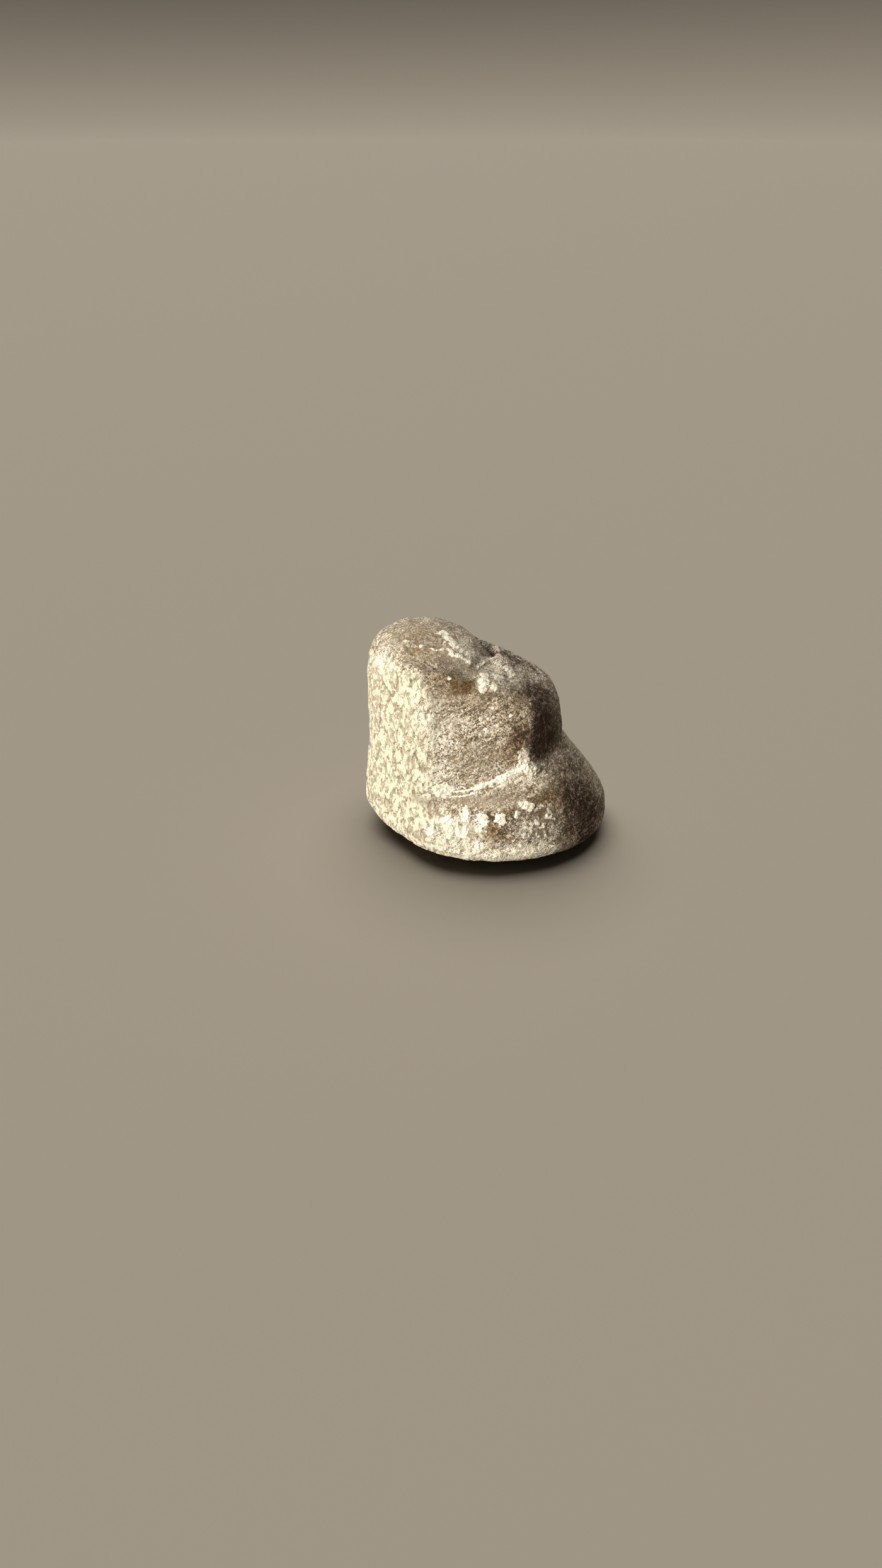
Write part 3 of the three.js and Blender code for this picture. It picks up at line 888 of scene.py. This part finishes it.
def step_between(tree, value, low, high, start=0.0, end=1.0):
    settings = {"interpolation_type": "SMOOTHSTEP"}
    sides = {"From_Min": low, "From_Max": high, "To_Min": start, "To_Max": end}
    return add(tree, "ShaderNodeMapRange", settings, Value=value, **sides).outputs[0]


def vector(tree, operation, a, b=(0.0, 0.0, 0.0), output=0):
    return add(tree, "ShaderNodeVectorMath", {"operation": operation}, _0=a, _1=b).outputs[output]


def stretched(tree, a, share):
    return add(tree, "ShaderNodeVectorMath", {"operation": "SCALE"}, _0=a, Scale=share).outputs[0]


def scaled(tree, place, sizes):
    """The place counted in cells of the given sizes in millimetres."""
    return vector(tree, "DIVIDE", place, sizes)


def turned(tree, place, degrees):
    """The place turned about the front-to-back axis."""
    settings = {"rotation_type": "Y_AXIS"}
    return add(tree, "ShaderNodeVectorRotate", settings, Vector=place, Angle=math.radians(degrees)).outputs[0]


def noise(tree, place, size, detail=2.0, roughness=0.5, output=0):
    node = add(tree, "ShaderNodeTexNoise", Vector=place, Scale=1 / size, Detail=detail, Roughness=roughness)
    return node.outputs[output]


def warped(tree, place, size, reach):
    centred = vector(tree, "SUBTRACT", noise(tree, place, size, output="Color"), (MIDDLE, MIDDLE, MIDDLE))
    return vector(tree, "ADD", place, stretched(tree, centred, 2 * reach))


def cells(tree, place, feature="F1"):
    return add(tree, "ShaderNodeTexVoronoi", {"feature": feature}, Vector=place, Scale=1.0)


def first_of(tree, colour):
    """The first channel of a cell's random colour, as its tone."""
    if tree.bl_idname == "GeometryNodeTree":
        return add(tree, "FunctionNodeSeparateColor", Color=colour).outputs[0]
    return add(tree, "ShaderNodeSeparateColor", Color=colour).outputs[0]


def stored(tree, name, is_place):
    if tree.bl_idname == "GeometryNodeTree":
        settings = {"data_type": "FLOAT_VECTOR" if is_place else "FLOAT"}
        return add(tree, "GeometryNodeInputNamedAttribute", settings, Name=name).outputs["Attribute"]
    node = add(tree, "ShaderNodeAttribute", {"attribute_name": name})
    return node.outputs["Vector" if is_place else "Fac"]


def masks(tree):
    """What dress stored, in either kind of tree."""
    return {name: stored(tree, name, name == "rest") for name in STORED}


def front_distance(tree, flat_place, path):
    """Millimetres from a place to a path, both seen straight from the front."""
    nearest = None
    for start, end in zip(path[:-1], path[1:]):
        corner = Vector((start[0], 0, start[2]))
        along = Vector((end[0], 0, end[2])) - corner
        offset = vector(tree, "SUBTRACT", flat_place, corner)
        share = vector(tree, "DOT_PRODUCT", offset, along / along.length_squared, 1)
        share = plus(tree, share, 0.0, clamp=True)
        far = vector(tree, "DISTANCE", offset, stretched(tree, along, share), 1)
        nearest = far if nearest is None else calc(tree, "MINIMUM", nearest, far)
    return nearest


def seam_lines(tree, place, near_seam):
    """Share of the thin white lines along the seam."""
    flat_place = vector(tree, "MULTIPLY", place, (1, 0, 1))
    wobble = swing(tree, noise(tree, place, SEAM_WOBBLE_SIZE), SEAM_WOBBLE)
    share = 0.0
    for path, width in SEAM_LINES:
        far = plus(tree, front_distance(tree, flat_place, path), wobble)
        line = step_between(tree, far, width * SEAM_EDGE[0], width * SEAM_EDGE[1], 1.0, 0.0)
        share = higher(tree, line, share)
    return times(tree, share, step_between(tree, near_seam, *SEAM_FADE))


def ragged(tree, value, made, reach, low, high, crumbly=0.0):
    """A stored share with its edge broken up by clumps, and by crumbs and grains where crumbly."""
    value = plus(tree, value, swing(tree, made["clump"], reach))
    value = plus(tree, value, swing(tree, made["lump_tone"], crumbly))
    value = plus(tree, value, swing(tree, made["grain"], crumbly))
    return step_between(tree, value, low, high)


def textures(tree, m):
    """The noises, cells and ragged shares of the stone."""
    place = m["rest"]
    made = {"clump": noise(tree, place, CLUMP_SIZE, *CLUMP_DETAIL)}
    made["grain"] = noise(tree, place, GRAIN_SIZE, *GRAIN_DETAIL)
    moved = warped(tree, place, *WARP)
    crinkled = warped(tree, moved, *CRINKLE)
    lump = cells(tree, scaled(tree, crinkled, COARSE_SIZE))
    made["lump_tone"] = first_of(tree, lump.outputs["Color"])
    for name, edge in RAGGED_EDGES.items():
        made[name] = ragged(tree, m[name], made, *edge)

    tone = first_of(tree, cells(tree, scaled(tree, crinkled, SCALE_SIZE)).outputs["Color"])
    blot = noise(tree, scaled(tree, crinkled, BLOT_SIZE), 1.0, *BLOT_DETAIL)
    made["cream"] = step_between(tree, plus(tree, blot, swing(tree, tone, BLOT_CELLS)), *CREAM_RAMP)
    edge = cells(tree, scaled(tree, crinkled, CRACK_SIZE), "DISTANCE_TO_EDGE").outputs["Distance"]
    broken = step_between(tree, noise(tree, place, BROKEN_SIZE, 1.0), *BROKEN_RAMP)
    made["gap"] = times(tree, step_between(tree, edge, *GAP_RAMP), broken)

    made["crystal"] = cells(tree, scaled(tree, crinkled, CRYSTAL_SIZE)).outputs["Color"]
    reach = step_between(tree, made["lump_tone"], *CRUMB_REACH_RAMP)
    made["crumb"] = step_between(tree, minus(tree, reach, lump.outputs["Distance"]), *CRUMB_RAMP)
    made["swell"] = noise(tree, place, SWELL_SIZE)
    pit = cells(tree, scaled(tree, moved, PIT_SIZE))
    reach = times(tree, first_of(tree, pit.outputs["Color"]), PIT_REACH)
    made["pit"] = step_between(tree, minus(tree, pit.outputs["Distance"], reach), *PIT_RAMP)
    made["striae"] = noise(tree, scaled(tree, moved, STRIAE_SIZE), 1.0)
    return made


def relief(tree, m):
    """The fine relief in millimetres and what it is made of, the same in the mesh and in the material."""
    made = textures(tree, m)
    pale = made["pale"]
    ground = plus(tree, swing(tree, made["grain"], GRAIN_MM), swing(tree, made["clump"], CLUMP_MM))
    scales = plus(tree, swing(tree, made["cream"], CREAM_MM), swing(tree, made["grain"], SCALE_GRAIN_MM))
    scales = minus(tree, scales, times(tree, made["gap"], GAP_MM))
    height = plus(tree, times(tree, ground, minus(tree, 1.0, pale)), times(tree, scales, pale))
    crumbs = plus(tree, swing(tree, made["crumb"], CRUMB_MM), swing(tree, made["grain"], CRUMB_GRAIN_MM))
    height = plus(tree, height, times(tree, higher(tree, made["crust"], made["coarse"]), crumbs))
    height = plus(tree, height, swing(tree, made["swell"], SWELL_MM))
    height = minus(tree, height, times(tree, made["pit"], PIT_MM))
    made["height"] = plus(tree, height, times(tree, m["wall"], swing(tree, made["striae"], STRIAE_MM)))
    return made


def raise_relief(piece):
    """Moves the mesh by the fine relief along its normals, and keeps the result as the mesh."""
    tree = bpy.data.node_groups.new("fine_relief", "GeometryNodeTree")
    tree.interface.new_socket("Geometry", in_out="INPUT", socket_type="NodeSocketGeometry")
    tree.interface.new_socket("Geometry", in_out="OUTPUT", socket_type="NodeSocketGeometry")
    start = tree.nodes.new("NodeGroupInput")
    end = tree.nodes.new("NodeGroupOutput")
    height = times(tree, relief(tree, masks(tree))["height"], MM)
    normal = tree.nodes.new("GeometryNodeInputNormal").outputs[0]
    push = stretched(tree, normal, height)
    move = add(tree, "GeometryNodeSetPosition", Geometry=start.outputs[0], Offset=push)
    tree.links.new(move.outputs[0], end.inputs[0])
    modifier = piece.modifiers.new("fine_relief", "NODES")
    modifier.node_group = tree
    seen = piece.evaluated_get(bpy.context.evaluated_depsgraph_get())
    made = bpy.data.meshes.new_from_object(seen)
    piece.modifiers.clear()
    piece.data = made
    bpy.data.node_groups.remove(tree)


def srgb(colour):
    """A colour as the eye sees it, as the light that Blender counts in."""

    def linear(value):
        value /= 255
        return value / 12.92 if value <= 0.04045 else ((value + 0.055) / 1.055) ** 2.4

    return (*map(linear, colour), 1.0)


def blend(tree, share, a, b, kind="MIX"):
    """Colour a with its share of colour b; a colour of three numbers is as the eye sees it."""
    a, b = (srgb(c) if isinstance(c, tuple) else c for c in (a, b))
    settings = {"data_type": "RGBA", "blend_type": kind}
    return add(tree, "ShaderNodeMix", settings, _0=share, _6=a, _7=b).outputs[2]


def flecks(tree, m, r):
    """The finest noises, which only the colour and the gloss use."""
    place = m["rest"]
    fine = noise(tree, place, FINE_SIZE, *FINE_DETAIL)
    salt = first_of(tree, cells(tree, scaled(tree, place, SALT_SIZE)).outputs["Color"])
    patch = noise(tree, place, PATCH_SIZE, *PATCH_DETAIL)
    rows = noise(tree, scaled(tree, turned(tree, place, ROW_TILT), ROW_SIZE), 1.0, 1.0)
    streak = noise(tree, scaled(tree, turned(tree, place, STREAK_TILT), STREAK_SIZE), 1.0)
    streak = times(tree, step_between(tree, streak, *STREAK_RAMP), m["front"])
    lift = times(tree, swing(tree, rows, m["front"]), ROW_LIFT)
    lift = plus(tree, lift, swing(tree, r["clump"], CLUMP_LIFT))
    lift = plus(tree, lift, swing(tree, patch, PATCH_LIFT))
    pick = first_of(tree, r["crystal"])
    bright = plus(tree, pick, lift)
    glint = step_between(tree, plus(tree, salt, times(tree, lift, GLINT_LIFT)), *GLINT_RAMP)
    spark = higher(tree, step_between(tree, bright, *SPARK_RAMP), glint)
    grainy = plus(tree, times(tree, salt, SALT_WEIGHT), times(tree, pick, CRYSTAL_WEIGHT))
    grainy = plus(tree, plus(tree, grainy, minus(tree, r["grain"], MIDDLE)), lift)
    mixed = plus(tree, times(tree, r["grain"], GRAIN_WEIGHT), times(tree, fine, FINE_WEIGHT))
    return dict(fine=fine, patch=patch, streak=streak, bright=bright, spark=spark, grainy=grainy, mixed=mixed)


def ground_colour(tree, m, r, f):
    """Sandy stone with crystals and sparks, calmer in places, and coarse crystals where they lie."""
    ground = blend(tree, step_between(tree, f["patch"], *PATCH_RAMP), GROUND_DARK, GROUND_TAN)
    ground = blend(tree, step_between(tree, f["grainy"], *FLECK_RAMP), ground, GROUND_FLECK)
    ground = blend(tree, step_between(tree, f["grainy"], *DEEP_RAMP), ground, GROUND_DEEP)
    ground = blend(tree, step_between(tree, f["fine"], *FINE_DEEP_RAMP), ground, GROUND_DEEP)
    ground = blend(tree, times(tree, f["streak"], STREAK_SHARE), ground, GROUND_LIGHT)
    sand = step_between(tree, noise(tree, m["rest"], SAND_SIZE), *SAND_RAMP)
    calmness = higher(tree, m["calm"], sand)
    calm = blend(tree, step_between(tree, r["grain"], *CALM_RAMP), CALM_DARK, CALM_LIGHT)
    ground = blend(tree, times(tree, calmness, CALM_SHARE), ground, calm)
    sparks = times(tree, f["spark"], step_between(tree, calmness, *CALM_SPARK_RAMP))
    ground = blend(tree, sparks, ground, SPARK)
    crystals = blend(tree, step_between(tree, r["lump_tone"], *CRYSTAL_RAMP), GROUND_DARK, SPARK)
    crystals = blend(tree, r["crumb"], GROUND_DEEP, crystals)
    crystals = blend(tree, CRYSTAL_GROUND_SHARE, crystals, ground)
    return blend(tree, r["coarse"], ground, crystals)


def scale_colour(tree, r, f):
    """The pale scales of the worn left side, with thin gaps between them."""
    dull = blend(tree, step_between(tree, f["grainy"], *DULL_RAMP), SCALE_SHADE, SCALE_DULL)
    scale = blend(tree, r["cream"], dull, SCALE_CREAM)
    scale = blend(tree, step_between(tree, f["mixed"], *SHADE_RAMP), scale, SCALE_SHADE)
    return blend(tree, times(tree, r["gap"], GAP_SHARE), scale, SCALE_GAP)


def crust_colour(tree, f):
    crust = blend(tree, step_between(tree, f["mixed"], *CRUST_RAMP), CRUST_DULL, CRUST_WHITE)
    return blend(tree, step_between(tree, f["bright"], *CRUST_TAN_RAMP), crust, GROUND_TAN)


def stone_colour(tree, m, r, f):
    """All the kinds of stone and the painted light and shade, one over the other."""
    colour = ground_colour(tree, m, r, f)
    # Brown stain, in places also painted shade
    stain_and_shade = times(tree, m["brown"], step_between(tree, r["grain"], *STAIN_AND_SHADE_RAMP), clamp=True)
    colour = blend(tree, stain_and_shade, colour, BROWN_TINT, "MULTIPLY")
    colour = blend(tree, r["pale"], colour, scale_colour(tree, r, f))
    # Painted light on the bottom rim, the ridge of the top and the left of the front facet
    painted_light = times(tree, m["painted_light"], step_between(tree, f["grainy"], *PAINTED_LIGHT_RAMP), clamp=True)
    colour = blend(tree, painted_light, colour, GROUND_LIGHT)
    # Grey stone, and painted shade along the channel on the top
    grey_and_channel_shade = times(tree, r["grey_and_channel_shade"], step_between(tree, f["grainy"], *GREY_RAMP))
    colour = blend(tree, grey_and_channel_shade, colour, GREY)
    colour = blend(tree, r["crust"], colour, crust_colour(tree, f))
    colour = blend(tree, seam_lines(tree, m["rest"], m["seam"]), colour, CRUST_WHITE)
    colour = blend(tree, times(tree, r["pit"], PIT_SHARE), colour, PIT)
    # Painted shade on the right flank, the wall and in the creases
    painted_shade = times(tree, m["painted_shade"], step_between(tree, r["grain"], *PAINTED_SHADE_RAMP), clamp=True)
    painted_shade = times(tree, painted_shade, step_between(tree, f["spark"], *PAINTED_SHADE_SPARK_RAMP))
    colour = blend(tree, painted_shade, colour, PAINTED_SHADE_TINT, "MULTIPLY")
    scratch = times(tree, m["wall"], step_between(tree, r["striae"], *SCRATCH_RAMP), clamp=True)
    return blend(tree, scratch, colour, GROUND_DARK)


def stone_normal(tree, m, r, f):
    """Each crystal tilted its own way, under a bump of the grain."""
    tilt = vector(tree, "SUBTRACT", r["crystal"], (MIDDLE, MIDDLE, MIDDLE))
    reach = times(tree, step_between(tree, r["pale"], *TILT_PALE_RAMP), CRYSTAL_TILT)
    # Crystals tilt less under the painted shade
    reach = times(tree, reach, step_between(tree, m["painted_shade"], *TILT_PAINTED_SHADE_RAMP))
    normal = tree.nodes.new("ShaderNodeNewGeometry").outputs["Normal"]
    facet = vector(tree, "ADD", normal, stretched(tree, tilt, reach))
    facet = vector(tree, "NORMALIZE", facet)
    height = plus(tree, times(tree, f["fine"], FINE_BUMP), times(tree, r["height"], RELIEF_BUMP))
    return add(tree, "ShaderNodeBump", Strength=1.0, Distance=MM, Height=height, Normal=facet).outputs[0]


def stone_material():
    material = bpy.data.materials.new(SLOT)
    material.use_nodes = True
    tree = material.node_tree
    shader = tree.nodes["Principled BSDF"]
    m = masks(tree)
    r = relief(tree, m)
    f = flecks(tree, m, r)
    rough = step_between(tree, f["spark"], *ROUGH_SPARK_RAMP)
    rough = minus(tree, rough, step_between(tree, f["fine"], *ROUGH_FINE_RAMP))
    tree.links.new(stone_colour(tree, m, r, f), shader.inputs["Base Color"])
    tree.links.new(rough, shader.inputs["Roughness"])
    tree.links.new(stone_normal(tree, m, r, f), shader.inputs["Normal"])
    return material


def make_shell():
    mesh, points = shell_mesh()
    dress(mesh, points, normals_of(points))
    piece = bpy.data.objects.new("fossil_shell", mesh)
    bpy.context.scene.collection.objects.link(piece)
    raise_relief(piece)
    piece.data.shade_smooth()
    piece.data.materials.append(stone_material())
    return piece


def make_camera():
    right = (AIM_PIXEL[0] - PICTURE_WIDTH / 2) / FOCAL_PIXELS
    up = (PICTURE_HEIGHT / 2 - AIM_PIXEL[1]) / FOCAL_PIXELS
    pitch = math.radians(CAMERA_ELEVATION) + math.atan(up)
    forward = Vector((0, math.cos(pitch), -math.sin(pitch)))
    upward = Vector((0, math.sin(pitch), math.cos(pitch)))
    aside = Vector((1, 0, 0))
    place = Vector(AIM_POINT) - (forward + aside * right + upward * up) * CAMERA_DISTANCE
    data = bpy.data.cameras.new("camera")
    data.sensor_width = SENSOR_MM
    data.lens = FOCAL_PIXELS / PICTURE_HEIGHT * SENSOR_MM
    data.clip_start = CAMERA_CLIP[0]
    data.clip_end = CAMERA_CLIP[1]
    camera = bpy.data.objects.new("camera", data)
    turn = Matrix((aside, upward, -forward)).transposed()
    camera.matrix_world = Matrix.Translation(place * MM) @ turn.to_4x4()
    bpy.context.scene.collection.objects.link(camera)
    bpy.context.scene.camera = camera


def make_sun(name, towards, strength, colour, softness, lit):
    """A soft sun that lights only the given object."""
    data = bpy.data.lights.new(name, "SUN")
    data.energy = strength
    data.color = colour
    data.angle = math.radians(softness)
    lamp = bpy.data.objects.new(name, data)
    lamp.rotation_mode = "QUATERNION"
    lamp.rotation_quaternion = Vector(towards).to_track_quat("Z", "Y")
    bpy.context.scene.collection.objects.link(lamp)
    group = bpy.data.collections.new(name)
    group.objects.link(lit)
    lamp.light_linking.receiver_collection = group


def floor_mesh():
    """A round floor that curves up into a low wall far from the shell."""
    bend = [k / FLOOR_BEND_STEPS * math.pi / 2 for k in range(FLOOR_BEND_STEPS + 1)]
    profile = [(FLOOR_RADIUS + FLOOR_BEND * math.sin(a), FLOOR_BEND * (1 - math.cos(a))) for a in bend]
    profile.append((FLOOR_RADIUS + FLOOR_BEND, FLOOR_BEND + FLOOR_WALL))
    angles = [2 * math.pi * k / FLOOR_SIDES for k in range(FLOOR_SIDES)]
    corners = [(r * math.cos(a), r * math.sin(a), z) for r, z in profile for a in angles]
    faces = [tuple(range(FLOOR_SIDES))]
    for ring in range(len(profile) - 1):
        first = ring * FLOOR_SIDES
        for k in range(FLOOR_SIDES):
            after = (k + 1) % FLOOR_SIDES
            faces.append((first + k, first + FLOOR_SIDES + k, first + FLOOR_SIDES + after, first + after))
    mesh = bpy.data.meshes.new("floor")
    mesh.from_pydata(corners, [], faces)
    mesh.shade_smooth()
    return mesh


def make_floor():
    mesh = floor_mesh()
    floor = bpy.data.objects.new("floor", mesh)
    floor.visible_shadow = False
    bpy.context.scene.collection.objects.link(floor)
    material = bpy.data.materials.new("pale_floor")
    material.use_nodes = True
    shader = material.node_tree.nodes["Principled BSDF"]
    shader.inputs["Base Color"].default_value = (*FLOOR_COLOUR, 1)
    shader.inputs["Roughness"].default_value = FLOOR_ROUGHNESS
    mesh.materials.append(material)
    return floor


def make_world():
    world = bpy.data.worlds.new("studio")
    world.use_nodes = True
    background = world.node_tree.nodes["Background"]
    background.inputs["Color"].default_value = (*FILL_COLOUR, 1)
    background.inputs["Strength"].default_value = FILL_STRENGTH
    bpy.context.scene.world = world
    bpy.context.scene.view_settings.view_transform = "Standard"
    bpy.context.scene.view_settings.gamma = VIEW_GAMMA


piece = make_shell()
floor = make_floor()
make_sun("key_light", KEY_TOWARDS, KEY_STRENGTH, KEY_COLOUR, KEY_SOFTNESS, piece)
make_sun("back_light", BACK_TOWARDS, BACK_STRENGTH, SOFT_COLOUR, BACK_SOFTNESS, piece)
make_sun("top_light", TOP_TOWARDS, TOP_STRENGTH, SOFT_COLOUR, TOP_SOFTNESS, piece)
make_sun("floor_light", FLOOR_LIGHT_TOWARDS, FLOOR_LIGHT_STRENGTH, SOFT_COLOUR, FLOOR_LIGHT_SOFTNESS, floor)
make_world()
make_camera()
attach(piece, "root")
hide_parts("shell")
